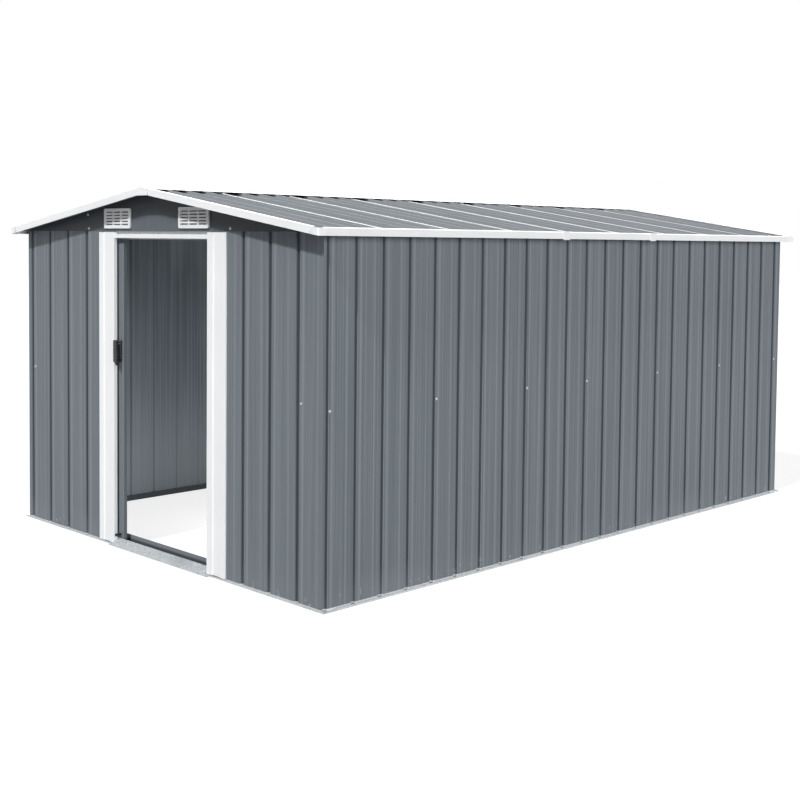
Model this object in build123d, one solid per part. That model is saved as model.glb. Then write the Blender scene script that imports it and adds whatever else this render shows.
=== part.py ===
from build123d import *

import os
from math import atan, cos, radians, sin

# Walls and roof as a whole
wall_width = 2494.0
wall_length = 3800.0
total_height = 1810.0
eave_overhang = 50.0
verge_overhang = 77.0
roof_rise = 186.0

# Sheet metal and fits
sheet = 0.8
rail_gauge = 1.2
seat_gap = 0.2
sheet_joint_gap = 0.5
running_clearance = 7.0
overrun = 5.0

# Ribbed wall sheets
side_grooves = 24
side_first = 19.0
side_last = 71.0
side_joint_shares = (0.17, 0.35, 0.48, 0.65, 0.83)
gable_grooves = 13
gable_first = 41.0
gable_last = 167.0
rear_joint_shares = (0.18, 0.45, 0.73)
groove_depth = 10.0
groove_mouth = 30.0
groove_floor = 16.0
bead_depth = 1.6
bead_width = 10.0
bead_shares = (0.36, 0.68)

# Base rails
rail_outset = 10.0
side_rail_outset = 24.0
rail_lip = 8.0
rail_flange = 72.0
side_rail_flange = 43.0
rail_inner_lip = 34.0

# Corner posts
post_leg = 34.0

# Wall plate and gables
plate_height = 40.0
plate_flange = 30.0
gable_lap = 8.0

# Roof sheets and ridge cap
roof_bays = 9
ribs_per_bay = 3
rib_height = 14.0
rib_crest = 18.0
rib_foot = 40.0
eave_gap = 1.5
ridge_gap = 3.0
cap_half_width = 54.0
cap_tab_drop = 39.0
cap_tab_foot_share = 0.96
joint_strip_width = 10.0
joint_strip_height = 7.0

# Roof edge trims
trim_drop = 16.0
trim_gauge = 1.0
trim_inset = 2.0
trim_lip = 24.0
fascia_joint_shares = (-0.17, 0.213)
strap_width = 50.0
strap_rise = 5.0
cap_leg = 46.0
cap_gauge = 1.5
cap_round = 9.0
cap_round_steps = 5

# Roof beams
beam_width = 40.0
beam_height = 34.0
purlin_share = 0.5
purlin_width = 40.0
purlin_depth = 30.0

# Jambs and header
doorway_shift = 41.0
jamb_width = 143.0
jamb_proud = 6.0
jamb_step = 4.0
jamb_step_shares = (0.3, 0.72)
foot_gap = 0.8
jamb_drop = 4.0
header_drop = 14.0
header_height = 20.0

# Sill and lower track
sill_top = 38.0
sill_reach = 26.0
sill_toe = 2.0
sill_land = 2.0
sill_ear = 26.0
track_front_lip = 20.0
track_upstand = 52.0
track_end_gap = 44.0

# Hanger rail over the door
hanger_rail_drop = 8.0
hanger_rail_height = 32.0
hanger_rail_lip = 11.0
door_head_gap = 20.0

# Sliding door
door_room = 110.0
door_depth = 18.0
door_bottom = 34.0
door_overlap = 30.0
stile_width = 46.0
door_rail_height = 50.0
door_grooves = 5
door_pitch = 140.0
door_groove_depth = 7.0
door_skin_setback = 3.0
hanger_width = 44.0
hanger_gauge = 2.0
hanger_inset = 90.0
hanger_tail = 46.0
roller_radius = 10.0
roller_width = 5.0
roller_pin = 3.0
guide_length = 60.0
guide_depth = 10.0

# Door handle and stop peg
handle_clearance = 6.0
handle_height = 128.0
handle_width = 30.0
handle_inset = 15.0
handle_middle = 985.0
handle_wall = 6.0
handle_reach = 34.0
handle_taper = 22.0
peg_radius = 7.0
peg_reach = 30.0
peg_rise = 14.0

# Vents
vent_width = 240.0
vent_height = 100.0
vent_depth = 8.0
vent_corner = 10.0
vent_offset_share = 0.2655
vent_rise = 64.0
vent_columns = 3
vent_rows = 5
vent_border = 16.0
vent_bar = 8.0
vent_blade = 8.0
vent_hole_margin = 12.0

# Planes that several pieces share
half_width = wall_width / 2
half_length = wall_length / 2
front = -half_length
eave = half_width + eave_overhang
verge = half_length + verge_overhang
inner_skin = groove_depth + sheet
plate_outer = half_width - inner_skin - seat_gap
wall_foot = rail_gauge + seat_gap
vent_offset = vent_offset_share * plate_outer

# Roof planes: the pan is the underside of the flat of a roof sheet
roof_fall_share = roof_rise / plate_outer
angle = atan(roof_fall_share)
crest_level = sheet + rib_height
pan_ridge = total_height - (crest_level + seat_gap + sheet) / cos(angle)
wall_top = pan_ridge - roof_rise - seat_gap
gable_line = wall_top - gable_lap
wall_head = gable_line - seat_gap
trim_top = crest_level + seat_gap + trim_gauge
sheet_reach = eave - trim_inset - trim_gauge - eave_gap - crest_level * sin(angle)
sheet_fall = sheet_reach / cos(angle) - ridge_gap
fascia_bottom = pan_ridge - roof_fall_share * eave - trim_drop

# Doorway planes: the door parks behind the left front wall, which sets the width of the opening
door_need = 2 * handle_clearance + handle_width - door_overlap
half_opening = (half_width + doorway_shift - door_room + door_need) / 3
left_opening = doorway_shift - half_opening
right_opening = doorway_shift + half_opening
door_travel = 2 * half_opening - 2 * handle_clearance - handle_width
door_lead_x = left_opening + handle_clearance + handle_width + handle_inset
door_tail_x = left_opening - door_overlap - door_travel
door_y = front + inner_skin + running_clearance
door_back_y = door_y + door_depth
header_top = gable_line - header_drop
header_bottom = header_top - header_height
hanger_rail_top = gable_line - hanger_rail_drop
hanger_rail_bottom = hanger_rail_top - hanger_rail_height
hanger_y = door_back_y + seat_gap
hanger_lip_y = hanger_y + hanger_gauge + running_clearance
hanger_web_y = hanger_lip_y + hanger_rail_lip
door_top = hanger_rail_bottom - door_head_gap
track_floor = wall_foot + rail_gauge
track_start = -plate_outer + track_end_gap
track_end = right_opening + jamb_width


def prism(points, way):
    """A solid swept from a closed outline along a vector."""
    outline = Wire.make_polygon([Vector(*point) for point in points], close=True)
    return Solid.extrude(Face(outline), Vector(*way))


def block(low, high):
    """A box between two opposite corners."""
    size = [b - a for a, b in zip(low, high)]
    middle = [(a + b) / 2 for a, b in zip(low, high)]
    return Pos(*middle) * Box(*size)


def mirrored_x(shape):
    return mirror(shape, about=Plane.YZ)


def mirrored_y(shape):
    return mirror(shape, about=Plane.XZ)


def save(name, *shapes):
    """Writes one node, as one solid or as several that do not touch."""
    solids = [solid for shape in shapes for solid in shape.solids()]
    node = solids[0] if len(solids) == 1 else Compound(children=solids)
    export_step(node, os.path.join("parts", name + ".step"))


def save_four(name, front_right):
    """Writes a corner piece at all four corners."""
    rear_right = mirrored_y(front_right)
    save(name + "_front_right", front_right)
    save(name + "_front_left", mirrored_x(front_right))
    save(name + "_rear_right", rear_right)
    save(name + "_rear_left", mirrored_x(rear_right))


# Ribbed sheets

def groove_points(middle, depth):
    """The four corners of one groove, as places along the sheet and levels."""
    return [
        (middle - groove_mouth / 2, 0),
        (middle - groove_floor / 2, -depth),
        (middle + groove_floor / 2, -depth),
        (middle + groove_mouth / 2, 0),
    ]


def bead_points(middle):
    """A shallow crease pressed into a crown."""
    return [(middle - bead_width / 2, 0), (middle, -bead_depth), (middle + bead_width / 2, 0)]


def level_at(line, place):
    """Level of a ribbed line at a place along it, zero past its ends."""
    for (a, low), (b, high) in zip(line, line[1:]):
        if a <= place <= b:
            return low + (high - low) * (place - a) / (b - a)
    return 0


def ribbed_line(start, end, grooves, depth):
    """Outer skin from start to end: broad crowns, grooves between them and beads on the crowns."""
    line = [point for middle in grooves for point in groove_points(middle, depth)]
    for left, right in zip(grooves, grooves[1:]):
        for share in bead_shares:
            line += bead_points(left + share * (right - left))
    line.sort()
    inside = [point for point in line if start < point[0] < end]
    return [(start, level_at(line, start)), *inside, (end, level_at(line, end))]


def closed_sheet(line):
    """Closes an outer skin line into a sheet of one gauge on its inner side."""
    return line + [(place, level - sheet) for place, level in reversed(line)]


def wall_sheets(start, end, grooves, joints, place):
    """The sheets of one wall, parted in the middle of the grooves that hold a joint."""
    last = len(grooves) - 1
    cuts = [start] + [grooves[round(share * last)] for share in joints] + [end]
    sheets = []
    for low, high in zip(cuts, cuts[1:]):
        low_end = low if low == start else low + sheet_joint_gap / 2
        high_end = high if high == end else high - sheet_joint_gap / 2
        outline = closed_sheet(ribbed_line(low_end, high_end, grooves, groove_depth))
        points = [(*place(along, out), wall_foot) for along, out in outline]
        sheets.append(prism(points, (0, 0, wall_head - wall_foot)))
    return sheets


def build_walls():
    side_pitch = (wall_length - side_first - side_last) / (side_grooves - 1)
    side_lines = [front + side_first + i * side_pitch for i in range(side_grooves)]
    side_end = half_length - sheet - seat_gap

    def right_side(along, out):
        return half_width + out, along

    right = wall_sheets(-side_end, side_end, side_lines, side_joint_shares, right_side)
    save("right_wall_panels", *right)
    save("left_wall_panels", *[mirrored_x(panel) for panel in right])

    gable_pitch = (wall_width - gable_first - gable_last) / (gable_grooves - 1)
    gable_lines = [gable_first - half_width + i * gable_pitch for i in range(gable_grooves)]

    def rear_side(along, out):
        return along, half_length + out

    rear = wall_sheets(-half_width, half_width, gable_lines, rear_joint_shares, rear_side)
    save("rear_wall_panels", *rear)

    def front_side(along, out):
        return along, front - out

    left_edge = left_opening - jamb_width - seat_gap
    left_lines = [line for line in gable_lines if line < left_edge - groove_mouth]
    save("front_wall_left", *wall_sheets(-half_width, left_edge, left_lines, (), front_side))
    right_edge = right_opening + jamb_width + seat_gap
    right_lines = [line for line in gable_lines if line > right_edge + groove_mouth]
    save("front_wall_right", *wall_sheets(right_edge, half_width, right_lines, (), front_side))


# Corner posts

def build_corner_posts():
    """Folded angles inside the corners, behind the sheets and under the wall plate."""
    edge = front + inner_skin + seat_gap
    outline = [
        (plate_outer, edge),
        (plate_outer, edge + post_leg),
        (plate_outer - rail_gauge, edge + post_leg),
        (plate_outer - rail_gauge, edge + rail_gauge),
        (plate_outer - post_leg, edge + rail_gauge),
        (plate_outer - post_leg, edge),
    ]
    points = [(x, y, wall_foot) for x, y in outline]
    head = wall_top - plate_height - seat_gap
    save_four("corner_post", prism(points, (0, 0, head - wall_foot)))


# Base rails

def build_base():
    """Channels on the ground: a low lip outside the wall, a flange under it and a taller inner lip."""
    outer_x = half_width + side_rail_outset
    outer_y = half_length + rail_outset
    inner_x = outer_x - side_rail_flange
    inner_y = outer_y - rail_flange
    side_end = inner_y - seat_gap

    section = [
        (outer_x, 0),
        (outer_x, rail_lip),
        (outer_x - rail_gauge, rail_lip),
        (outer_x - rail_gauge, rail_gauge),
        (inner_x + rail_gauge, rail_gauge),
        (inner_x + rail_gauge, rail_inner_lip),
        (inner_x, rail_inner_lip),
        (inner_x, 0),
    ]
    right = prism([(x, -side_end, z) for x, z in section], (0, 2 * side_end, 0))
    save("base_rail_right", right)
    save("base_rail_left", mirrored_x(right))

    angle_section = [
        (outer_y, 0),
        (outer_y, rail_lip),
        (outer_y - rail_gauge, rail_lip),
        (outer_y - rail_gauge, rail_gauge),
        (inner_y, rail_gauge),
        (inner_y, 0),
    ]
    rear = prism([(-outer_x, y, z) for y, z in angle_section], (2 * outer_x, 0, 0))
    rear = rear + block((-inner_x, inner_y, 0), (inner_x, inner_y + rail_gauge, rail_inner_lip))
    save("base_rail_rear", rear)

    notch = half_opening + sill_ear
    doorway = block(
        (doorway_shift - notch, -outer_y - overrun, rail_gauge),
        (doorway_shift + notch, -outer_y + rail_gauge + overrun, rail_lip + overrun),
    )
    save("base_rail_front", mirrored_y(rear) - doorway)


# Wall plate

def angle_bar(outer, low, place):
    """Corner points of the wall plate: a web against the wall and a flange at its top."""
    section = [
        (outer, low),
        (outer, wall_top),
        (outer - plate_flange, wall_top),
        (outer - plate_flange, wall_top - rail_gauge),
        (outer - rail_gauge, wall_top - rail_gauge),
        (outer - rail_gauge, low),
    ]
    return [place(across, up) for across, up in section]


def build_wall_plates():
    low = wall_top - plate_height
    gable_outer = half_length - inner_skin - seat_gap
    side_end = gable_outer - rail_gauge - seat_gap
    gable_end = plate_outer - plate_flange - seat_gap
    right = prism(angle_bar(plate_outer, low, lambda x, z: (x, -side_end, z)), (0, 2 * side_end, 0))
    save("eave_rail_right", right)
    save("eave_rail_left", mirrored_x(right))
    rear = prism(angle_bar(gable_outer, low, lambda y, z: (-gable_end, y, z)), (2 * gable_end, 0, 0))
    save("top_rail_rear", rear)
    save("top_rail_front", mirrored_y(rear))


# Roof

def roof_point(along, out, y):
    """A point of the right slope: along the fall from the ridge and out from the pan."""
    x = along * cos(angle) + out * sin(angle)
    z = pan_ridge - along * sin(angle) + out * cos(angle)
    return x, y, z


def fall(length):
    return length * cos(angle), 0, -length * sin(angle)


def roof_sheet(low, high):
    """One ribbed bay of the right slope between two places along the ridge."""
    spacing = (high - low) / (ribs_per_bay + 1)
    line = [(low, sheet)]
    for i in range(ribs_per_bay):
        middle = low + (i + 1) * spacing
        line += [
            (middle - rib_foot / 2, sheet),
            (middle - rib_crest / 2, crest_level),
            (middle + rib_crest / 2, crest_level),
            (middle + rib_foot / 2, sheet),
        ]
    line.append((high, sheet))
    points = [roof_point(ridge_gap, level, place) for place, level in closed_sheet(line)]
    return prism(points, fall(sheet_fall))


def joint_strip(middle):
    """A white folded strip over one joint of the right slope, open side down."""
    half = joint_strip_width / 2
    foot = sheet + seat_gap
    top = foot + joint_strip_height
    outline = [
        (-half, foot),
        (-half, top),
        (half, top),
        (half, foot),
        (half - sheet, foot),
        (half - sheet, top - sheet),
        (-half + sheet, top - sheet),
        (-half + sheet, foot),
    ]
    points = [roof_point(ridge_gap, level, middle + across) for across, level in outline]
    return prism(points, fall(sheet_fall))


def build_roof():
    end = verge - trim_inset - trim_gauge - seat_gap
    bay = 2 * end / roof_bays
    right = []
    for i in range(roof_bays):
        low = -end + i * bay
        right.append(roof_sheet(low + sheet_joint_gap / 2, low + bay - sheet_joint_gap / 2))
    save("roof_panels_right", *right)
    save("roof_panels_left", *[mirrored_x(panel) for panel in right])
    strips = [joint_strip(-end + i * bay) for i in range(1, roof_bays)]
    save("roof_joint_strips", *strips, *[mirrored_x(strip) for strip in strips])


def build_ridge_cap():
    """White cap on the crests along the ridge, with a tapered tab turned down at each end."""
    under = crest_level + seat_gap
    edge_low = roof_point(cap_half_width, under, -verge)
    edge_high = roof_point(cap_half_width, under + sheet, -verge)
    top = [edge_high, (0, -verge, total_height), (-edge_high[0], -verge, edge_high[2])]
    peak = total_height - sheet / cos(angle)
    underside = [(-edge_low[0], -verge, edge_low[2]), (0, -verge, peak), edge_low]
    cap = prism(top + underside, (0, 2 * verge, 0))
    foot = cap_tab_foot_share * cap_half_width
    tab_bottom = total_height - cap_tab_drop
    tab = prism(top + [(-foot, -verge, tab_bottom), (foot, -verge, tab_bottom)], (0, sheet, 0))
    save("ridge_cap", cap + tab + mirrored_y(tab))


# Roof edge trims

def crest_height(x):
    """Height just over the crests of the roof sheets."""
    return pan_ridge - roof_fall_share * x + (crest_level + seat_gap) / cos(angle)


def build_eave_trims():
    """White channels along the eaves, in three lengths with a strap over each joint."""
    outer = eave - trim_inset
    lip = outer - trim_lip
    inner = outer - trim_gauge
    top = crest_height(outer) + trim_gauge
    section = [
        (outer, fascia_bottom),
        (outer, top),
        (lip, crest_height(lip) + trim_gauge),
        (lip, crest_height(lip)),
        (inner, crest_height(inner)),
        (inner, fascia_bottom + trim_gauge),
        (lip, fascia_bottom + trim_gauge),
        (lip, fascia_bottom),
    ]
    end = verge - cap_leg
    joints = [share * verge for share in fascia_joint_shares]
    pieces = []
    for low, high in zip([-end, *joints], [*joints, end]):
        points = [(x, low + sheet_joint_gap / 2, z) for x, z in section]
        pieces.append(prism(points, (0, high - low - sheet_joint_gap, 0)))
    for joint in joints:
        low = (outer + seat_gap, joint - strap_width / 2, fascia_bottom - strap_rise)
        pieces.append(block(low, (eave, joint + strap_width / 2, top + strap_rise)))
    save("eave_trim_right", *pieces)
    save("eave_trim_left", *[mirrored_x(piece) for piece in pieces])


def build_verge_trims():
    """White angles up the gable edges of the roof."""
    outer = -verge + trim_inset
    section = [
        (outer, -trim_drop),
        (outer, trim_top),
        (outer + trim_lip, trim_top),
        (outer + trim_lip, trim_top - trim_gauge),
        (outer + trim_gauge, trim_top - trim_gauge),
        (outer + trim_gauge, -trim_drop),
    ]
    start = cap_half_width + seat_gap
    length = (eave - cap_leg - trim_top * sin(angle)) / cos(angle) - start
    points = [roof_point(start, out, y) for y, out in section]
    save_four("verge_trim", prism(points, fall(length)))


def corner_arc(radius):
    """Places round a corner of the roof edge, from its front to its side, as inset from both."""
    turns = [i * radians(90) / cap_round_steps for i in range(cap_round_steps + 1)]
    return [(cap_round - radius * sin(turn), cap_round - radius * cos(turn)) for turn in turns]


def build_corner_caps():
    """White rounded angles that close the four corners of the roof edge and follow the verge's fall."""
    top = crest_height(eave - trim_inset) + trim_gauge
    leg = cap_leg - seat_gap
    rise = roof_fall_share * leg
    outer = [(leg, 0), *corner_arc(cap_round), (0, leg)]
    inner = [(leg, cap_gauge), *corner_arc(cap_round - cap_gauge), (cap_gauge, leg)]
    outline = [(eave - x, -verge + y) for x, y in outer + inner[::-1]]
    wrap = prism([(x, y, fascia_bottom) for x, y in outline], (0, 0, top + rise - fascia_bottom))
    fall_line = [(0, fascia_bottom), (0, top), (leg, top + rise), (leg, fascia_bottom + rise)]
    band = prism([(eave - x, -verge, z) for x, z in fall_line], (0, cap_leg, 0))
    cap = wrap & band
    rear = mirrored_y(cap)
    save("roof_corner_caps", cap, mirrored_x(cap), rear, mirrored_x(rear))


# Gables and vents

def build_gables():
    """Flat gable sheets over the end walls, each cut behind its two vents."""
    peak = pan_ridge - seat_gap / cos(angle)
    shoulder = peak - roof_fall_share * plate_outer
    outline = [
        (-plate_outer, gable_line),
        (plate_outer, gable_line),
        (plate_outer, shoulder),
        (0, peak),
        (-plate_outer, shoulder),
    ]
    panel = prism([(x, front, z) for x, z in outline], (0, sheet, 0))
    half_hole = vent_width / 2 - vent_hole_margin
    half_tall = vent_height / 2 - vent_hole_margin
    middle = gable_line + vent_rise
    for x in (-vent_offset, vent_offset):
        low = (x - half_hole, front - overrun, middle - half_tall)
        panel = panel - block(low, (x + half_hole, front + overrun, middle + half_tall))
    save("front_gable", panel)
    save("rear_gable", mirrored_y(panel))


def vent_plate():
    """Louvred plate, face up, with rows and columns of slots through it."""
    plate = extrude(RectangleRounded(vent_width, vent_height, vent_corner), vent_depth)
    slot_width = (vent_width - 2 * vent_border - (vent_columns - 1) * vent_bar) / vent_columns
    slot_height = (vent_height - 2 * vent_border - (vent_rows - 1) * vent_blade) / vent_rows
    slot = Box(slot_width, slot_height, vent_depth + 2 * overrun)
    for column in range(vent_columns):
        for row in range(vent_rows):
            across = (column - (vent_columns - 1) / 2) * (slot_width + vent_bar)
            up = (row - (vent_rows - 1) / 2) * (slot_height + vent_blade)
            plate = plate - Pos(across, up, vent_depth / 2) * slot
    return plate


def build_vents():
    plate = Rot(90, 0, 0) * vent_plate()
    vents = [Pos(x, front - seat_gap, gable_line + vent_rise) * plate for x in (-vent_offset, vent_offset)]
    save("front_vents", *vents)
    save("rear_vents", *[mirrored_y(vent) for vent in vents])


# Roof beams

def channel_section(width, height):
    """Channel with its open side down, its top centred on zero."""
    half = width / 2
    return [
        (-half, -height),
        (-half, 0),
        (half, 0),
        (half, -height),
        (half - rail_gauge, -height),
        (half - rail_gauge, -rail_gauge),
        (-half + rail_gauge, -rail_gauge),
        (-half + rail_gauge, -height),
    ]


def build_beams():
    end = half_length - sheet - seat_gap
    top = pan_ridge - roof_fall_share * beam_width / 2 - seat_gap
    ridge = [(x, -end, top + z) for x, z in channel_section(beam_width, beam_height)]
    save("ridge_beam", prism(ridge, (0, 2 * end, 0)))

    middle = purlin_share * plate_outer / cos(angle)
    section = channel_section(purlin_width, purlin_depth)
    purlin = [roof_point(middle + across, out - seat_gap, -end) for across, out in section]
    right = prism(purlin, (0, 2 * end, 0))
    save("roof_purlins", right, mirrored_x(right))


# Doorway

def build_jambs():
    """White folded channels beside the doorway, with a shallow step along the middle of the face."""
    face = front - jamb_proud
    back = front + inner_skin
    outer = half_opening + jamb_width
    step_in, step_out = [half_opening + share * jamb_width for share in jamb_step_shares]
    skin = [
        (half_opening, back),
        (half_opening, face),
        (step_in, face),
        (step_in + jamb_step, face + jamb_step),
        (step_out - jamb_step, face + jamb_step),
        (step_out, face),
        (outer, face),
        (outer, back),
    ]
    lining = [
        (outer - rail_gauge, back),
        (outer - rail_gauge, face + rail_gauge),
        (step_out, face + rail_gauge),
        (step_out - jamb_step, face + jamb_step + rail_gauge),
        (step_in + jamb_step, face + jamb_step + rail_gauge),
        (step_in, face + rail_gauge),
        (half_opening + rail_gauge, face + rail_gauge),
        (half_opening + rail_gauge, back),
    ]
    foot = rail_lip + foot_gap
    head = gable_line - jamb_drop
    right = prism([(x, y, foot) for x, y in skin + lining], (0, 0, head - foot))
    middle = Pos(doorway_shift, 0, 0)
    save("door_jamb_right", middle * right)
    save("door_jamb_left", middle * mirrored_x(right))


def build_header():
    """White channel over the doorway, between the jambs."""
    end = half_opening - seat_gap
    face = front - jamb_proud
    back = front + inner_skin
    section = [
        (face, header_bottom),
        (face, header_top),
        (back, header_top),
        (back, header_top - rail_gauge),
        (face + rail_gauge, header_top - rail_gauge),
        (face + rail_gauge, header_bottom + rail_gauge),
        (back, header_bottom + rail_gauge),
        (back, header_bottom),
    ]
    save("door_header", prism([(doorway_shift - end, y, z) for y, z in section], (2 * end, 0, 0)))


def build_sill():
    """Ramp across the doorway, with low ears that run on under the jambs."""
    toe = front - sill_reach
    rail_edge = front - rail_outset - seat_gap
    back = front + inner_skin
    end = half_opening + sill_ear - seat_gap
    section = [
        (toe, 0),
        (toe, sill_toe),
        (back - sill_land, sill_top),
        (back, sill_top),
        (back, wall_foot),
        (rail_edge, wall_foot),
        (rail_edge, 0),
    ]
    ramp = prism([(-end, y, z) for y, z in section], (2 * end, 0, 0))
    for side in (-1, 1):
        near = side * (half_opening - seat_gap)
        far = side * (end + overrun)
        low = (min(near, far), toe - overrun, rail_lip)
        ramp = ramp - block(low, (max(near, far), back + overrun, sill_top + overrun))
    save("door_sill", Pos(doorway_shift, 0, 0) * ramp)


def build_tracks():
    """Lower channel that guides the door's foot, and the rail that its rollers hang from."""
    near = front + inner_skin + seat_gap
    far = front - rail_outset + rail_flange - rail_gauge - seat_gap
    section = [
        (near, wall_foot),
        (near, track_front_lip),
        (near + rail_gauge, track_front_lip),
        (near + rail_gauge, track_floor),
        (far - rail_gauge, track_floor),
        (far - rail_gauge, track_upstand),
        (far, track_upstand),
        (far, wall_foot),
    ]
    length = track_end - track_start
    save("door_track_lower", prism([(track_start, y, z) for y, z in section], (length, 0, 0)))

    plate = front + inner_skin + rail_gauge + 2 * seat_gap
    web = hanger_web_y
    section = [
        (plate, hanger_rail_top),
        (web, hanger_rail_top),
        (web, hanger_rail_bottom),
        (hanger_lip_y, hanger_rail_bottom),
        (hanger_lip_y, hanger_rail_bottom + rail_gauge),
        (web - rail_gauge, hanger_rail_bottom + rail_gauge),
        (web - rail_gauge, hanger_rail_top - rail_gauge),
        (plate, hanger_rail_top - rail_gauge),
    ]
    save("door_hanger_rail", prism([(track_start, y, z) for y, z in section], (length, 0, 0)))


# Sliding door, parked open

def build_door_leaf():
    """Folded stiles, a ribbed skin between them and flat rails behind its ends."""
    height = door_top - door_bottom
    stile = [
        (0, door_back_y),
        (0, door_y),
        (stile_width, door_y),
        (stile_width, door_back_y),
        (stile_width - rail_gauge, door_back_y),
        (stile_width - rail_gauge, door_y + rail_gauge),
        (rail_gauge, door_y + rail_gauge),
        (rail_gauge, door_back_y),
    ]
    stiles = []
    for left in (door_tail_x, door_lead_x - stile_width):
        stiles.append(prism([(left + x, y, door_bottom) for x, y in stile], (0, 0, height)))
    save("door_stiles", *stiles)

    start = door_tail_x + stile_width + seat_gap
    end = door_lead_x - stile_width - seat_gap
    skin = door_y + door_skin_setback
    first = (start + end - (door_grooves - 1) * door_pitch) / 2
    grooves = [first + i * door_pitch for i in range(door_grooves)]
    outline = closed_sheet(ribbed_line(start, end, grooves, door_groove_depth))
    save("door_panel", prism([(x, skin - out, door_bottom) for x, out in outline], (0, 0, height)))

    behind = skin + door_groove_depth + sheet + seat_gap
    rails = []
    for low in (door_bottom, door_top - door_rail_height):
        rails.append(block((start, behind, low), (end, door_back_y, low + door_rail_height)))
    save("door_rails", *rails)


def build_door_runners():
    """Hangers with rollers at the top of the door, and guide blocks at its foot."""
    wheel_y = hanger_lip_y + seat_gap
    wheel_z = hanger_rail_bottom + rail_gauge + seat_gap + roller_radius
    pin_length = wheel_y + roller_width - hanger_y
    guide_y = (door_y + door_back_y) / 2
    turn = Rot(90, 0, 0)
    hangers = []
    guides = []
    for x in (door_tail_x + hanger_inset, door_lead_x - hanger_inset):
        low = (x - hanger_width / 2, hanger_y, door_top - hanger_tail)
        plate = block(low, (x + hanger_width / 2, hanger_y + hanger_gauge, wheel_z + roller_radius))
        pin = Pos(x, hanger_y + pin_length / 2, wheel_z) * turn * Cylinder(roller_pin, pin_length)
        wheel = Pos(x, wheel_y + roller_width / 2, wheel_z) * turn * Cylinder(roller_radius, roller_width)
        hangers.append(plate + pin + wheel)
        low = (x - guide_length / 2, guide_y - guide_depth / 2, track_floor + seat_gap)
        high = (x + guide_length / 2, guide_y + guide_depth / 2, door_bottom - seat_gap)
        guides.append(block(low, high))
    save("door_hangers", *hangers)
    save("door_guides", *guides)


def build_handle():
    """Black channel-shaped pull on the leading stile, cut away at its lower end, and a stop peg."""
    right = door_lead_x - handle_inset
    left = right - handle_width
    back = door_y - seat_gap
    face = back - handle_reach
    low = handle_middle - handle_height / 2
    section = [
        (left, back),
        (left, face),
        (right, face),
        (right, face + handle_wall),
        (left + handle_wall, face + handle_wall),
        (left + handle_wall, back - handle_wall),
        (right, back - handle_wall),
        (right, back),
    ]
    pull = prism([(x, y, low) for x, y in section], (0, 0, handle_height))
    shoulder = low + handle_taper
    side_cut = [(left, face, low), (right, face, low), (left, face, shoulder)]
    back_cut = [(left, back, low), (left, face, low), (left, back, shoulder)]
    pull = pull - prism(side_cut, (0, handle_reach, 0)) - prism(back_cut, (handle_width, 0, 0))
    save("door_handle", pull)

    peg = Pos((left + right) / 2, back - peg_reach / 2, door_bottom + peg_rise + peg_radius)
    save("door_stop_peg", peg * Rot(90, 0, 0) * Cylinder(peg_radius, peg_reach))


os.makedirs("parts", exist_ok=True)
build_base()
build_walls()
build_corner_posts()
build_wall_plates()
build_roof()
build_ridge_cap()
build_eave_trims()
build_verge_trims()
build_corner_caps()
build_gables()
build_vents()
build_beams()
build_jambs()
build_header()
build_sill()
build_tracks()
build_door_leaf()
build_door_runners()
build_handle()
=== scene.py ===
import math

import bmesh
import bpy
from mathutils import Euler, Matrix, Vector


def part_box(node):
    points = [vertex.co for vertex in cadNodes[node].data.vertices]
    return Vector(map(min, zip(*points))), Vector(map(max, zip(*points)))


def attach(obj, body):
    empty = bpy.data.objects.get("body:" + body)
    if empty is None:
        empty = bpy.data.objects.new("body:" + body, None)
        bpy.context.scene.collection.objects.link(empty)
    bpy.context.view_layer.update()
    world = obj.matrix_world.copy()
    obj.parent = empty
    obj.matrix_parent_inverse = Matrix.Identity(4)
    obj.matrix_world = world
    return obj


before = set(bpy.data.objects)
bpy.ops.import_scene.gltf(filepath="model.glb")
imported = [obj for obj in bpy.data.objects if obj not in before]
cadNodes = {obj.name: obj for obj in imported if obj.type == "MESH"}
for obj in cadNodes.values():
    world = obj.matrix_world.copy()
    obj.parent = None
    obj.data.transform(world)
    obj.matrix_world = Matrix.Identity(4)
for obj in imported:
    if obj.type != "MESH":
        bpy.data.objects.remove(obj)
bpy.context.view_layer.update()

scene = bpy.context.scene
scene.view_settings.view_transform = "Standard"
print("shed frame loaded:", len(cadNodes), "CAD nodes")


class Wire:
    # an output socket, so that plain expressions add Math nodes
    def __init__(self, recipe, socket):
        self.recipe = recipe
        self.socket = socket

    def maths(self, operation, first, second=0.0):
        return self.recipe.add("ShaderNodeMath", {"operation": operation}, {0: first, 1: second})

    def __add__(self, other):
        return self.maths("ADD", self, other)

    def __radd__(self, other):
        return self.maths("ADD", other, self)

    def __sub__(self, other):
        return self.maths("SUBTRACT", self, other)

    def __rsub__(self, other):
        return self.maths("SUBTRACT", other, self)

    def __mul__(self, other):
        return self.maths("MULTIPLY", self, other)

    def __rmul__(self, other):
        return self.maths("MULTIPLY", other, self)

    def __truediv__(self, other):
        return self.maths("DIVIDE", self, other)

    def __rtruediv__(self, other):
        return self.maths("DIVIDE", other, self)

    def __mod__(self, other):
        return self.maths("FLOORED_MODULO", self, other)

    def __neg__(self):
        return self.maths("SUBTRACT", 0.0, self)

    def __abs__(self):
        return self.maths("ABSOLUTE", self)

    def sign(self):
        return self.maths("SIGN", self)

    def larger(self, other):
        return self.maths("MAXIMUM", self, other)

    def smaller(self, other):
        return self.maths("MINIMUM", self, other)


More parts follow.
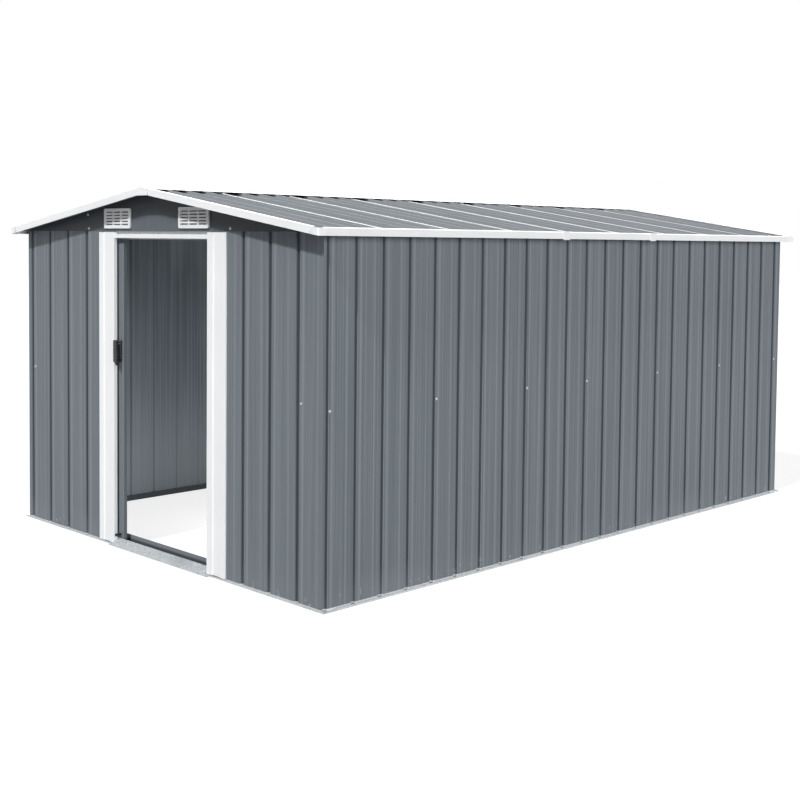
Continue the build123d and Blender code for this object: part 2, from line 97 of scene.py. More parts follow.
class Recipe:
    # builds one node tree; a Mix node keeps its colours in these sockets
    mixFactor, mixFirst, mixSecond, mixResult = 0, 6, 7, 2

    def __init__(self, tree):
        self.tree = tree
        tree.nodes.clear()

    def add(self, kind, settings=None, sockets=None, out=0):
        node = self.tree.nodes.new(kind)
        for key, value in (settings or {}).items():
            setattr(node, key, value)
        for key, value in (sockets or {}).items():
            if isinstance(value, Wire):
                self.tree.links.new(value.socket, node.inputs[key])
            else:
                node.inputs[key].default_value = value
        return Wire(self, node.outputs[out]) if node.outputs else node

    def mix(self, factor, first, second):
        settings = {"data_type": "RGBA", "clamp_factor": True}
        sockets = {self.mixFactor: factor, self.mixFirst: first, self.mixSecond: second}
        return self.add("ShaderNodeMix", settings, sockets, self.mixResult)

    def ease(self, value, low, high):
        sockets = {"Value": value, "From Min": low, "From Max": high}
        return self.add("ShaderNodeMapRange", {"interpolation_type": "SMOOTHSTEP"}, sockets)

    def fade(self, value, low, high):
        return 1 - self.ease(value, low, high)

    def between(self, ends, share):
        low, high = ends
        return low + (high - low) * share

    def grain(self, place, stretch, detail, roughness=0.5):
        scaled = self.add("ShaderNodeVectorMath", {"operation": "MULTIPLY"}, {0: place, 1: stretch})
        sockets = {"Vector": scaled, "Scale": 1.0, "Detail": detail, "Roughness": roughness}
        return self.add("ShaderNodeTexNoise", {"noise_dimensions": "3D"}, sockets)

    def place(self):
        return self.add("ShaderNodeTexCoord", out="Object")

    def normals(self):
        return self.parts(self.add("ShaderNodeNewGeometry", out="Normal"))

    def parts(self, vector):
        split = self.add("ShaderNodeSeparateXYZ", sockets={0: vector})
        return [Wire(self, output) for output in split.socket.node.outputs]

    def surface(self, sockets, height, bump):
        strength, distance = bump
        relief = {"Height": height, "Strength": strength, "Distance": distance}
        normal = self.add("ShaderNodeBump", sockets=relief)
        shader = self.add("ShaderNodeBsdfPrincipled", sockets=dict(sockets, Normal=normal))
        self.add("ShaderNodeOutputMaterial", sockets={"Surface": shader})


def srgb(red, green, blue):
    # a colour as read off a screen, turned into the linear values that Blender mixes
    def linear(level):
        share = level / 255
        return share / 12.92 if share <= 0.04045 else ((share + 0.055) / 1.055) ** 2.4
    return (linear(red), linear(green), linear(blue), 1.0)


def newFinish(name):
    material = bpy.data.materials.new(name)
    material.use_nodes = True
    return material, Recipe(material.node_tree)


# Painted wall sheets: rolled streaks, painted highlights along two creases of each crown, painted
# shade in the grooves, dust, chips and a bare edge at the foot, and streaky primer on the inside,
# with painted light low down and painted sheen higher up
wallPaint = {
    "paint": srgb(115, 122, 128),
    "streakDark": srgb(105, 112, 118),
    "streakLight": srgb(125, 132, 138),
    "streakGrain": ((120.0, 120.0, 0.6), 3.0, 0.6),
    "darkReach": (0.36, 0.52),
    "lightReach": (0.52, 0.70),
    "cloudGrain": ((1.7, 1.7, 1.1), 2.0),
    "cloudReach": (0.30, 0.75),
    "cloudShare": 0.22,
    "facingReach": (0.1, 0.3),
    "creaseHighlight": srgb(136, 143, 149),
    "creasePhases": (0.2, 0.7),
    "creaseShares": (0.75, 0.45),
    "creaseReach": 0.07,
    "grooveShade": srgb(62, 69, 76),
    "recessReach": (0.001, 0.005),
    "primer": srgb(146, 155, 163),
    "primerDark": srgb(124, 132, 140),
    "primerReach": (0.38, 0.62),
    "primerPaintedLight": srgb(182, 190, 196),
    "paintedLightHeight": (0.1, 0.8),
    "paintedLightShare": 0.6,
    "sheen": srgb(186, 194, 200),
    "sheenGrain": ((3.4, 3.4, 0.9), 1.0),
    "sheenReach": (0.52, 0.72),
    "sheenHeight": (0.55, 1.2),
    "sheenShare": 0.5,
    "footDust": srgb(136, 141, 144),
    "dustHeight": (0.02, 0.16),
    "dustReach": (0.35, 0.7),
    "dustShare": 0.35,
    "fleck": srgb(196, 201, 204),
    "fleckGrain": ((75.0, 75.0, 22.0), 2.0),
    "fleckReach": (0.66, 0.74),
    "fleckHeight": (0.012, 0.075),
    "fleckShare": 0.8,
    "bareFoot": srgb(206, 209, 211),
    "bareHeight": (0.0085, 0.0105),
    "roughness": (0.36, 0.54),
    "gloss": 0.15,
    "bump": (0.12, 0.0006),
}
# Gable sheets: darker, with painted shade under the roof
gablePaint = dict(
    wallPaint,
    paint=srgb(99, 106, 112),
    streakDark=srgb(91, 98, 104),
    streakLight=srgb(106, 113, 119),
    underRoofShade=srgb(46, 51, 55),
    underRoofShadeReach=(0.06, 0.145),
    underRoofShadeShare=0.8,
)
# Where the CAD has its outer wall faces and grooves, and where the painted shade lies in the
# grooves
wallSides = {
    "side": {
        "axis": 0, "face": 1.247, "along": 1, "first": -1.881, "pitch": 0.161304,
        "shadeShift": 0.0115, "shadeReach": (0.0035, 0.0095), "shadeShare": 0.78,
    },
    "end": {
        "axis": 1, "face": 1.900, "along": 0, "first": -1.206, "pitch": 0.1905,
        "shadeShift": -0.001, "shadeReach": (0.0075, 0.0135), "shadeShare": 0.92,
    },
}
# The pan of the CAD's roof sheets: its height at the ridge and its fall
roofLine = {"ridge": 1.7940, "fallShare": 0.1505}


def sheetColour(recipe, place, options):
    streak = recipe.grain(place, *options["streakGrain"])
    cloud = recipe.grain(place, *options["cloudGrain"])
    dark = recipe.ease(streak, *options["darkReach"])
    light = recipe.ease(streak, *options["lightReach"])
    colour = recipe.mix(dark, options["streakDark"], options["paint"])
    colour = recipe.mix(light, colour, options["streakLight"])
    clouded = recipe.ease(cloud, *options["cloudReach"]) * options["cloudShare"]
    return recipe.mix(clouded, colour, options["streakDark"]), streak, cloud


def dressGrooves(recipe, colour, spots, facing, side):
    phase = ((spots[side["along"]] - side["first"]) / side["pitch"]) % 1.0
    # painted highlights along two creases of each crown
    creases = []
    for middle, share in zip(wallPaint["creasePhases"], wallPaint["creaseShares"]):
        creases.append(recipe.fade(abs(phase - middle), 0.0, wallPaint["creaseReach"]) * share)
    colour = recipe.mix((creases[0] + creases[1]) * facing, colour, wallPaint["creaseHighlight"])
    # painted shade down in the grooves, set off their middles by each side's shift
    shadePhase = (phase - side["shadeShift"] / side["pitch"]) % 1.0
    fromGroove = shadePhase.smaller(1 - shadePhase) * side["pitch"]
    recess = side["face"] - abs(spots[side["axis"]])
    sunk = recipe.ease(recess, *wallPaint["recessReach"])
    paintedShade = recipe.fade(fromGroove, *side["shadeReach"]) * sunk * facing
    return recipe.mix(paintedShade * side["shadeShare"], colour, wallPaint["grooveShade"])


def primerColour(recipe, place, height, streak):
    plain = recipe.ease(streak, *wallPaint["primerReach"])
    colour = recipe.mix(plain, wallPaint["primerDark"], wallPaint["primer"])
    # painted light: the primer is paler towards the bottom
    pale = recipe.fade(height, *wallPaint["paintedLightHeight"]) * wallPaint["paintedLightShare"]
    colour = recipe.mix(pale, colour, wallPaint["primerPaintedLight"])
    # painted sheen highlights in soft patches, higher up the wall
    patch = recipe.ease(recipe.grain(place, *wallPaint["sheenGrain"]), *wallPaint["sheenReach"])
    sheen = patch * recipe.ease(height, *wallPaint["sheenHeight"])
    return recipe.mix(sheen * wallPaint["sheenShare"], colour, wallPaint["sheen"])


def makeWallPaint(name, side=None, options=wallPaint):
    material, recipe = newFinish(name)
    place = recipe.place()
    spots = recipe.parts(place)
    height = spots[2]
    colour, streak, cloud = sheetColour(recipe, place, options)
    if side:
        outward = recipe.normals()[side["axis"]] * spots[side["axis"]].sign()
        facing = recipe.ease(outward, *options["facingReach"])
        colour = dressGrooves(recipe, colour, spots, facing, side)
        inside = recipe.ease(-outward, *options["facingReach"])
        colour = recipe.mix(inside, colour, primerColour(recipe, place, height, streak))
    # painted shade on the gable, darker close under the roof line
    if "underRoofShade" in options:
        drop = roofLine["ridge"] - roofLine["fallShare"] * abs(spots[0]) - height
        paintedShade = recipe.fade(drop, *options["underRoofShadeReach"]) * options["underRoofShadeShare"]
        colour = recipe.mix(paintedShade, colour, options["underRoofShade"])
    dust = recipe.fade(height, *options["dustHeight"]) * recipe.ease(cloud, *options["dustReach"])
    colour = recipe.mix(dust * options["dustShare"], colour, options["footDust"])
    chip = recipe.ease(recipe.grain(place, *options["fleckGrain"]), *options["fleckReach"])
    fleck = chip * recipe.fade(height, *options["fleckHeight"]) * options["fleckShare"]
    colour = recipe.mix(fleck, colour, options["fleck"])
    colour = recipe.mix(recipe.fade(height, *options["bareHeight"]), colour, options["bareFoot"])
    recipe.surface({
        "Base Color": colour,
        "Roughness": recipe.between(options["roughness"], cloud),
        "Specular IOR Level": options["gloss"],
    }, streak, options["bump"])
    return material


# Roof sheets: matt, streaked down the fall, with painted light on the ribs' flanks, a painted
# highlight on the crests and painted shade beside the ridge cap
roofPaint = {
    "paint": srgb(122, 126, 130),
    "streakDark": srgb(109, 113, 117),
    "streakLight": srgb(137, 141, 145),
    "streakGrain": ((0.9, 90.0, 0.9), 3.0, 0.6),
    "darkReach": (0.34, 0.52),
    "lightReach": (0.52, 0.72),
    "cloudGrain": ((1.3, 2.1, 1.3), 2.0),
    "cloudReach": (0.35, 0.75),
    "cloudShare": 0.3,
    "steepReach": (0.2, 0.6),
    "flankLight": srgb(132, 136, 140),
    "flankLightShare": 0.7,
    "crestHighlight": srgb(158, 162, 166),
    "crestHighlightReach": (0.0120, 0.0145),
    "crestHighlightShare": 0.25,
    "capShade": srgb(36, 40, 44),
    "capReach": (0.068, 0.094),
    "capShare": 0.9,
    "roughness": (0.62, 0.78),
    "gloss": 0.02,
    "bump": (0.15, 0.0008),
}


def roofLevel(recipe, place):
    # height out of the pan of the roof sheets
    x, _, z = recipe.parts(place)
    fall = roofLine["fallShare"]
    return (z - roofLine["ridge"] + abs(x) * fall) * math.cos(math.atan(fall))


def makeRoofPaint():
    material, recipe = newFinish("roofPaint")
    place = recipe.place()
    colour, streak, cloud = sheetColour(recipe, place, roofPaint)
    # painted light: the steep flanks of the ribs are paler
    flankLight = recipe.ease(abs(recipe.normals()[1]), *roofPaint["steepReach"])
    colour = recipe.mix(flankLight * roofPaint["flankLightShare"], colour, roofPaint["flankLight"])
    # painted highlight along the crests of the ribs
    crestHighlight = recipe.ease(roofLevel(recipe, place), *roofPaint["crestHighlightReach"]) * (1 - flankLight)
    colour = recipe.mix(crestHighlight * roofPaint["crestHighlightShare"], colour, roofPaint["crestHighlight"])
    besideCap = recipe.fade(abs(recipe.parts(place)[0]), *roofPaint["capReach"])
    shade = besideCap * (1 - crestHighlight) * roofPaint["capShare"]
    recipe.surface({
        "Base Color": recipe.mix(shade, colour, roofPaint["capShade"]),
        "Roughness": recipe.between(roofPaint["roughness"], cloud),
        "Specular IOR Level": roofPaint["gloss"],
    }, streak, roofPaint["bump"])
    return material


# White satin trim, a little dusty low down and in soft patches; eave trims get a greyer copy,
# painted shade
trimPaint = {
    "paint": srgb(248, 249, 250),
    "dust": srgb(233, 236, 239),
    "rub": srgb(250, 251, 252),
    "cloudGrain": ((3.1, 3.1, 1.9), 3.0),
    "dustReach": (0.42, 0.78),
    "dustShare": 0.45,
    "fineGrain": ((160.0, 160.0, 48.0), 2.0, 0.6),
    "rubReach": (0.55, 0.75),
    "rubShare": 0.5,
    "lowHeight": (0.02, 0.3),
    "lowShare": 0.8,
    "roughness": (0.3, 0.46),
    "gloss": 0.4,
    "bump": (0.06, 0.0005),
}
# painted shade: a greyer copy of the trim paint for the eave trims
eaveShadedTrim = dict(
    trimPaint,
    paint=srgb(240, 241, 243),
    dust=srgb(225, 228, 231),
    rub=srgb(243, 244, 245),
)
# White plastic of the vents and corner caps, and a darker copy for the vents' blades, painted shade
plasticWhite = dict(
    trimPaint,
    paint=srgb(246, 247, 248),
    dust=srgb(222, 225, 227),
    rub=srgb(249, 249, 249),
    fineGrain=((300.0, 300.0, 90.0), 2.0, 0.6),
    roughness=(0.4, 0.55),
)
# painted shade: a darker copy of the white plastic for the vents' blades
louvreShade = dict(
    plasticWhite,
    paint=srgb(150, 155, 159),
    dust=srgb(120, 126, 131),
    rub=srgb(166, 170, 174),
)


def makeWhite(name, options):
    material, recipe = newFinish(name)
    place = recipe.place()
    cloud = recipe.grain(place, *options["cloudGrain"])
    fine = recipe.grain(place, *options["fineGrain"])
    height = recipe.parts(place)[2]
    dust = recipe.ease(cloud, *options["dustReach"]) * options["dustShare"]
    colour = recipe.mix(dust, options["paint"], options["dust"])
    rub = recipe.ease(fine, *options["rubReach"]) * options["rubShare"]
    colour = recipe.mix(rub, colour, options["rub"])
    low = recipe.fade(height, *options["lowHeight"]) * cloud * options["lowShare"]
    recipe.surface({
        "Base Color": recipe.mix(low, colour, options["dust"]),
        "Roughness": recipe.between(options["roughness"], cloud),
        "Specular IOR Level": options["gloss"],
    }, fine, options["bump"])
    return material


# Roof joint strips: grey low down, with a white painted highlight, patchy, along their tops
jointGlint = {
    "white": srgb(236, 238, 239),
    "worn": srgb(214, 217, 219),
    "grey": srgb(112, 118, 123),
    "wornGrain": ((14.0, 50.0, 14.0), 3.0),
    "wornReach": (0.45, 0.7),
    "wornShare": 0.6,
    "whiteReach": (0.0042, 0.0052),
    "roughness": (0.35, 0.55),
    "gloss": 0.4,
    "bump": (0.06, 0.0004),
}


def makeJointGlint():
    material, recipe = newFinish("jointGlintMaterial")
    place = recipe.place()
    grain = recipe.grain(place, *jointGlint["wornGrain"])
    worn = recipe.ease(grain, *jointGlint["wornReach"]) * jointGlint["wornShare"]
    white = recipe.mix(worn, jointGlint["white"], jointGlint["worn"])
    # painted highlight: white only on the tops of the strips
    top = recipe.ease(roofLevel(recipe, place), *jointGlint["whiteReach"])
    recipe.surface({
        "Base Color": recipe.mix(top, jointGlint["grey"], white),
        "Roughness": recipe.between(jointGlint["roughness"], grain),
        "Specular IOR Level": jointGlint["gloss"],
    }, grain, jointGlint["bump"])
    return material


# Galvanised steel: spangled zinc, duller on the sill, brighter on the base rails' outer lips, with
# painted shade on the rails' inner side
zinc = {
    "light": srgb(203, 207, 210),
    "dark": srgb(168, 173, 177),
    "stain": srgb(138, 142, 145),
    "spangleScale": 150.0,
    "stainGrain": ((4.0, 4.0, 9.0), 3.0),
    "stainReach": (0.5, 0.8),
    "stainShare": 0.5,
    "metal": 0.45,
    "roughness": (0.34, 0.58),
    "bump": (0.05, 0.0003),
}
treadZinc = dict(zinc, light=srgb(190, 194, 197), dark=srgb(158, 163, 167))
brightZinc = dict(
    zinc,
    light=srgb(206, 209, 212),
    dark=srgb(180, 185, 188),
    inside=srgb(62, 67, 72),
    insideShadeReach=(0.004, 0.010),
)


def makeZinc(name, options):
    material, recipe = newFinish(name)
    place = recipe.place()
    spangle = {"Vector": place, "Scale": options["spangleScale"]}
    crystal = recipe.add("ShaderNodeTexVoronoi", {"feature": "F1"}, spangle, "Color")
    tone = recipe.parts(crystal)[0]
    cloud = recipe.grain(place, *options["stainGrain"])
    colour = recipe.mix(tone, options["dark"], options["light"])
    stain = recipe.ease(cloud, *options["stainReach"]) * options["stainShare"]
    colour = recipe.mix(stain, colour, options["stain"])
    # painted shade on the inner side of the base rails
    if "inside" in options:
        x, y, _ = recipe.parts(place)
        fromSide = wallSides["side"]["face"] - abs(x)
        fromEnd = wallSides["end"]["face"] - abs(y)
        inside = recipe.ease(fromSide.smaller(fromEnd), *options["insideShadeReach"])
        colour = recipe.mix(inside, colour, options["inside"])
    recipe.surface({
        "Base Color": colour,
        "Metallic": options["metal"],
        "Roughness": recipe.between(options["roughness"], tone),
    }, tone, options["bump"])
    return material


# Black moulded plastic of the handle, peg and guides, and a greyer copy for the ridges in the
# handle, painted light in the finger slot's shade
blackMoulding = {
    "paint": srgb(36, 39, 43),
    "scuff": srgb(72, 77, 82),
    "scuffGrain": ((60.0, 60.0, 22.0), 4.0, 0.65),
    "scuffReach": (0.52, 0.78),
    "scuffShare": 0.7,
    "fineGrain": ((420.0, 420.0, 420.0), 2.0),
    "roughness": (0.38, 0.58),
    "gloss": 0.4,
    "bump": (0.2, 0.0004),
}
# painted light: a greyer copy for the ridges in the handle's finger slot
gripLitMoulding = dict(blackMoulding, paint=srgb(92, 98, 103), scuff=srgb(122, 128, 133))
# Grey lower track, scuffed along its run, with a painted shadow low down
darkTrack = dict(
    blackMoulding,
    paint=srgb(126, 132, 138),
    scuff=srgb(148, 154, 159),
    scuffGrain=((3.0, 160.0, 160.0), 4.0, 0.65),
    low=srgb(74, 80, 86),
    lowShadowReach=(0.027, 0.037),
    roughness=(0.4, 0.6),
)


def makeDark(name, options):
    material, recipe = newFinish(name)
    place = recipe.place()
    scratch = recipe.grain(place, *options["scuffGrain"])
    fine = recipe.grain(place, *options["fineGrain"])
    scuff = recipe.ease(scratch, *options["scuffReach"]) * options["scuffShare"]
    colour = recipe.mix(scuff, options["paint"], options["scuff"])
    # painted shadow along the foot of the track
    if "low" in options:
        raised = recipe.ease(recipe.parts(place)[2], *options["lowShadowReach"])
        colour = recipe.mix(raised, options["low"], colour)
    recipe.surface({
        "Base Color": colour,
        "Roughness": recipe.between(options["roughness"], fine),
        "Specular IOR Level": options["gloss"],
    }, fine, options["bump"])
    return material


sideSheet = makeWallPaint("sideSheetPaint", wallSides["side"])
endSheet = makeWallPaint("endSheetPaint", wallSides["end"])
flatSheet = makeWallPaint("flatSheetPaint")
gableSheet = makeWallPaint("gableSheetPaint", options=gablePaint)
roofSheet = makeRoofPaint()
whiteTrim = makeWhite("whiteTrimPaint", trimPaint)
eaveShadedPaint = makeWhite("eaveShadedTrimPaint", eaveShadedTrim)
whitePlastic = makeWhite("whitePlastic", plasticWhite)
louvreShadedPlastic = makeWhite("louvreShadedPlastic", louvreShade)
zincSteel = makeZinc("galvanisedZinc", zinc)
sillZinc = makeZinc("sillZinc", treadZinc)
railZinc = makeZinc("railZinc", brightZinc)
trackPaint = makeDark("darkTrackPaint", darkTrack)
blackPlastic = makeDark("blackPlastic", blackMoulding)
gripLitPlastic = makeDark("gripLitPlastic", gripLitMoulding)
jointGlintPaint = makeJointGlint()

# Finish and slot by the start of a node's name; what isn't listed is bare zinc
finishes = {
    "left_wall_panels": (sideSheet, "grey_sheet"),
    "right_wall_panels": (sideSheet, "grey_sheet"),
    "rear_wall_panels": (endSheet, "grey_sheet"),
    "front_wall_left": (endSheet, "grey_sheet"),
    "front_wall_right": (endSheet, "grey_sheet"),
    "corner_post": (flatSheet, "grey_sheet"),
    "front_gable": (gableSheet, "grey_sheet"),
    "rear_gable": (gableSheet, "grey_sheet"),
    "door_panel": (flatSheet, "grey_sheet"),
    "door_stiles": (flatSheet, "grey_sheet"),
    "door_rails": (flatSheet, "grey_sheet"),
    "roof_panels": (roofSheet, "roof_sheet"),
    "eave_trim": (eaveShadedPaint, "white_trim"),
    "verge_trim": (whiteTrim, "white_trim"),
    "ridge_cap": (whiteTrim, "white_trim"),
    "roof_joint_strips": (jointGlintPaint, "white_trim"),
    "door_jamb": (whiteTrim, "white_trim"),
    "door_header": (whiteTrim, "white_trim"),
    "roof_corner_caps": (whitePlastic, "white_plastic"),
    "front_vents": (whitePlastic, "white_plastic"),
    "rear_vents": (whitePlastic, "white_plastic"),
    "base_rail": (railZinc, "galvanised"),
    "door_sill": (sillZinc, "galvanised"),
    "door_track_lower": (trackPaint, "dark_grey"),
    "door_handle": (blackPlastic, "black_plastic"),
    "door_guides": (blackPlastic, "black_plastic"),
    "door_stop_peg": (blackPlastic, "black_plastic"),
}
for name, node in cadNodes.items():
    found = [key for key in finishes if name.startswith(key)]
    material, slotName = finishes[max(found, key=len)] if found else (zincSteel, "galvanised")
    node.data.materials.clear()
    node.data.materials.append(material)
print("finishes given to every CAD node")


def makePiece(name, shape, material, body="shed"):
    mesh = bpy.data.meshes.new(name)
    shape.to_mesh(mesh)
    shape.free()
    mesh.materials.append(material)
    piece = bpy.data.objects.new(name, mesh)
    scene.collection.objects.link(piece)
    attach(piece, body)


def skin(shape, rings):
    # walls between rings of corners, and a cap on the first and the last
    count = len(rings[0])
    for near, far in zip(rings, rings[1:]):
        for i in range(count):
            j = (i + 1) % count
            shape.faces.new((near[i], near[j], far[j], far[i]))
    shape.faces.new(rings[0])
    shape.faces.new(list(reversed(rings[-1])))


# Self-tapping screws: a sealing washer under a low hexagon head
screwShape = {
    "washer": ((0.0068, 0.0), (0.0070, 0.0006), (0.0062, 0.0015)),
    "head": ((0.0046, 0.0015), (0.0046, 0.0042), (0.0036, 0.0051), (0.0, 0.0054)),
    "washerSides": 14,
    "headSides": 6,
}


def lathe(shape, profile, sides, turn):
    angles = [2 * math.pi * i / sides for i in range(sides)]
    rings = []
    for radius, height in profile:
        points = [(radius * math.cos(angle), radius * math.sin(angle), height) for angle in angles]
        if radius == 0:
            points = points[:1]
        rings.append([shape.verts.new(turn @ Vector(point)) for point in points])
    for lower, upper in zip(rings, rings[1:]):
        for i in range(sides):
            j = (i + 1) % sides
            tip = [upper[0]] if len(upper) == 1 else [upper[j], upper[i]]
            shape.faces.new([lower[i], lower[j], *tip])
    shape.faces.new(list(reversed(rings[0])))
    return rings


def screwRow(name, spots):
    shape = bmesh.new()
    for point, outward in spots:
        facing = Vector(outward).to_track_quat("Z", "Y").to_matrix().to_4x4()
        turn = Matrix.Translation(point) @ facing
        washer = lathe(shape, screwShape["washer"], screwShape["washerSides"], turn)
        shape.faces.new(washer[-1])
        lathe(shape, screwShape["head"], screwShape["headSides"], turn)
    makePiece(name, shape, zincSteel)


# Fixings: a middle row on each wall, beside grooves, and two pairs on each gable
wallScrews = {
    "jointGrooves": (0, 4, 8, 11, 15, 19, 23),
    "rearGrooves": (0, 3, 6, 9, 12),
    "besideGroove": 0.0195,
    "middleHeight": 0.847,
    "frontSpots": ((-1.1755, 0.849), (1.1070, 0.868)),
    "gableSpots": ((0.606, 1.614), (0.615, 1.686)),
}


def besideGrooves(side, grooves):
    aside = wallScrews["besideGroove"]
    return [side["first"] + groove * side["pitch"] + aside for groove in grooves]


def placeWallScrews():
    side, end = wallSides["side"], wallSides["end"]
    middle = wallScrews["middleHeight"]
    for name, way in (("rightWallScrews", 1), ("leftWallScrews", -1)):
        places = besideGrooves(side, wallScrews["jointGrooves"])
        screwRow(name, [((way * side["face"], y, middle), (way, 0, 0)) for y in places])
    rear = [(x, middle) for x in besideGrooves(end, wallScrews["rearGrooves"])]
    gable = [(x * mirror, z) for x, z in wallScrews["gableSpots"] for mirror in (-1, 1)]
    rows = (
        ("rearWallScrews", 1, rear),
        ("frontWallScrews", -1, wallScrews["frontSpots"]),
        ("frontGableScrews", -1, gable),
        ("rearGableScrews", 1, gable),
    )
    for name, way, spots in rows:
        screwRow(name, [((x, way * end["face"], z), (0, way, 0)) for x, z in spots])


placeWallScrews()
print("wall screws placed")

# Sloped louvre blades inside the slots of the vents; sizes are those of the CAD's vents
louvres = {
    "offset": 0.328158,
    "width": 0.240,
    "height": 0.100,
    "border": 0.016,
    "columns": 3,
    "rows": 5,
    "bar": 0.008,
    "blade": 0.008,
    "gauge": 0.0012,
    "headShare": -0.12,
    "near": 0.0005,
    "far": 0.0060,
    "sideGap": 0.0003,
    "footGap": 0.0002,
}


def slotSize(whole, count, bar):
    return (whole - 2 * louvres["border"] - (count - 1) * bar) / count


def louvreBlades(name, node, way):
    low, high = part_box(node)
    middle = (low.z + high.z) / 2
    back = high.y if way < 0 else low.y
    outer, inner = back + way * louvres["far"], back + way * louvres["near"]
    columns, rows, gauge = louvres["columns"], louvres["rows"], louvres["gauge"]
    slotWidth = slotSize(louvres["width"], columns, louvres["bar"])
    slotHeight = slotSize(louvres["height"], rows, louvres["blade"])
    half = slotWidth / 2 - louvres["sideGap"]
    offsets = (-louvres["offset"], louvres["offset"])
    slots = [(offset, i, j) for offset in offsets for i in range(columns) for j in range(rows)]
    shape = bmesh.new()
    for offset, column, row in slots:
        x = offset + (column - (columns - 1) / 2) * (slotWidth + louvres["bar"])
        z = middle + (row - (rows - 1) / 2) * (slotHeight + louvres["blade"])
        foot = z - slotHeight / 2 + louvres["footGap"]
        head = z + slotHeight * louvres["headShare"]
        section = [(outer, foot), (inner, head - gauge), (inner, head), (outer, foot + gauge)]
        left = [shape.verts.new((x - half, *point)) for point in section]
        right = [shape.verts.new((x + half, *point)) for point in section]
        skin(shape, [left, right])
    bmesh.ops.recalc_face_normals(shape, faces=shape.faces)
    makePiece(name, shape, louvreShadedPlastic)


louvreBlades("frontVentLouvres", "front_vents", -1)
louvreBlades("rearVentLouvres", "rear_vents", 1)
print("vent louvres fitted")

# Moulded ridges on the back wall of the handle's finger slot
handleGrips = {
    "wall": -1.8886,
    "left": -0.3432,
    "right": -0.3205,
    "lowest": 0.9600,
    "step": 0.0138,
    "count": 7,
    "radius": 0.0036,
    "proud": 0.0048,
    "endRound": 0.0025,
    "endShare": 0.55,
    "sides": 8,
}


def gripRing(shape, x, middle, share):
    ring = []
    for i in range(handleGrips["sides"] + 1):
        turn = math.pi * (i / handleGrips["sides"] - 0.5)
        y = handleGrips["wall"] - handleGrips["proud"] * share * math.cos(turn)
        z = middle + handleGrips["radius"] * share * math.sin(turn)
        ring.append(shape.verts.new((x, y, z)))
    return ring


def ridgeGrips(name):
    left, right = handleGrips["left"], handleGrips["right"]
    rounding, endShare = handleGrips["endRound"], handleGrips["endShare"]
    ends = ((left, endShare), (left + rounding, 1.0), (right - rounding, 1.0), (right, endShare))
    shape = bmesh.new()
    for i in range(handleGrips["count"]):
        middle = handleGrips["lowest"] + i * handleGrips["step"]
        skin(shape, [gripRing(shape, x, middle, share) for x, share in ends])
    bmesh.ops.recalc_face_normals(shape, faces=shape.faces)
    makePiece(name, shape, gripLitPlastic, "sliding_door")


ridgeGrips("doorHandleGrips")
print("handle grips moulded")

# Pale floor and sky that show as white, three soft suns and a lamp in the room
stageSetup = {
    "white": (1.0, 1.0, 1.0, 1.0),
    "floorSize": 80.0,
    "floorDrop": 0.0005,
    "floorColour": (0.27, 0.27, 0.27, 1.0),
    "floorLift": 0.79,
    "skyColour": (0.95, 0.97, 1.0, 1.0),
    "skyStrength": 0.18,
    "roomPlace": (-0.12, -1.05, 0.46),
    "roomRadius": 0.35,
    "roomPower": 15.0,
}
suns = {
    "keyLamp": {"towards": (0.06, -0.63, 0.77), "strength": 2.82, "angle": 4.0},
    "sideLamp": {"towards": (0.95, -0.12, 0.25), "strength": 2.05, "angle": 40.0},
    "backLamp": {"towards": (-0.62, 0.66, 0.42), "strength": 1.7, "angle": 50.0},
}


def showWhite(recipe):
    outputs = recipe.add("ShaderNodeLightPath").socket.node.outputs
    kinds = ("Is Camera Ray", "Is Glossy Ray", "Is Transmission Ray")
    camera, glossy, through = [Wire(recipe, outputs[kind]) for kind in kinds]
    return camera.larger(glossy).larger(through)


def buildFloor():
    half, level = stageSetup["floorSize"] / 2, -stageSetup["floorDrop"]
    mesh = bpy.data.meshes.new("groundFloor")
    corners = [(x * half, y * half, level) for x, y in ((-1, -1), (1, -1), (1, 1), (-1, 1))]
    mesh.from_pydata(corners, [], [(0, 1, 2, 3)])
    floor = bpy.data.objects.new("groundFloor", mesh)
    scene.collection.objects.link(floor)
    material, recipe = newFinish("paleFloor")
    matt = recipe.add("ShaderNodeBsdfDiffuse", sockets={"Color": stageSetup["floorColour"]})
    lift = {"Color": stageSetup["white"], "Strength": stageSetup["floorLift"]}
    glow = recipe.add("ShaderNodeEmission", sockets=lift)
    bright = recipe.add("ShaderNodeAddShader", sockets={0: matt, 1: glow})
    seen = recipe.add("ShaderNodeMixShader", sockets={0: showWhite(recipe), 1: matt, 2: bright})
    recipe.add("ShaderNodeOutputMaterial", sockets={"Surface": seen})
    mesh.materials.append(material)


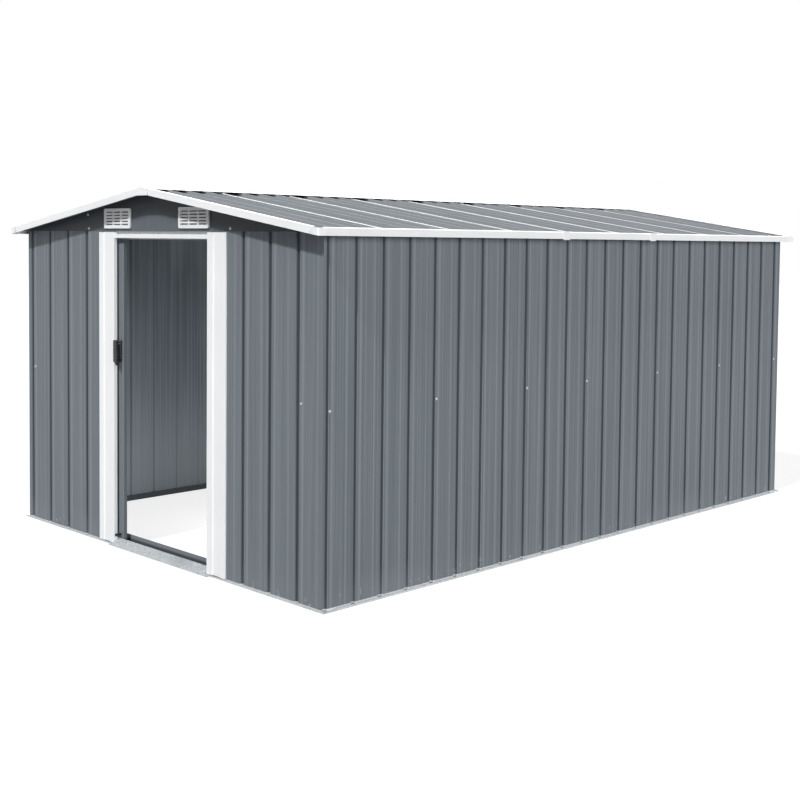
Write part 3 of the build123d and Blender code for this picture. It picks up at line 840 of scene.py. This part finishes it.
def buildSky():
    world = bpy.data.worlds.new("paleStudio")
    world.use_nodes = True
    scene.world = world
    recipe = Recipe(world.node_tree)
    dim = {"Color": stageSetup["skyColour"], "Strength": stageSetup["skyStrength"]}
    sky = recipe.add("ShaderNodeBackground", sockets=dim)
    plain = {"Color": stageSetup["white"], "Strength": 1.0}
    white = recipe.add("ShaderNodeBackground", sockets=plain)
    seen = recipe.add("ShaderNodeMixShader", sockets={0: showWhite(recipe), 1: sky, 2: white})
    recipe.add("ShaderNodeOutputWorld", sockets={"Surface": seen})


def buildLamps():
    for name, settings in suns.items():
        lamp = bpy.data.lights.new(name, "SUN")
        lamp.energy = settings["strength"]
        lamp.angle = math.radians(settings["angle"])
        placed = bpy.data.objects.new(name, lamp)
        placed.rotation_euler = (-Vector(settings["towards"])).to_track_quat("-Z", "Y").to_euler()
        scene.collection.objects.link(placed)
    lamp = bpy.data.lights.new("roomLamp", "POINT")
    lamp.shadow_soft_size = stageSetup["roomRadius"]
    lamp.energy = stageSetup["roomPower"]
    placed = bpy.data.objects.new("roomLamp", lamp)
    placed.location = stageSetup["roomPlace"]
    placed.visible_camera = False
    scene.collection.objects.link(placed)


# The photo's view: heading, tilt and roll in degrees
cameraSetup = {
    "place": (5.156, -5.301, 1.563),
    "heading": 45.0,
    "tilt": 2.736,
    "roll": 0.569,
    "sensor": 36.0,
    "lens": 56.07,
    "shift": (-0.0125, -0.1238),
}


def buildCamera():
    data = bpy.data.cameras.new("photoCamera")
    data.sensor_width = cameraSetup["sensor"]
    data.lens = cameraSetup["lens"]
    data.shift_x, data.shift_y = cameraSetup["shift"]
    camera = bpy.data.objects.new("photoCamera", data)
    pitch = math.radians(90 - cameraSetup["tilt"])
    aim = Euler((pitch, 0, math.radians(cameraSetup["heading"]))).to_matrix()
    turned = aim @ Matrix.Rotation(math.radians(cameraSetup["roll"]), 3, "Z")
    camera.matrix_world = Matrix.Translation(cameraSetup["place"]) @ turned.to_4x4()
    scene.collection.objects.link(camera)
    scene.camera = camera


buildFloor()
buildSky()
buildLamps()
buildCamera()
print("stage, light and camera set")
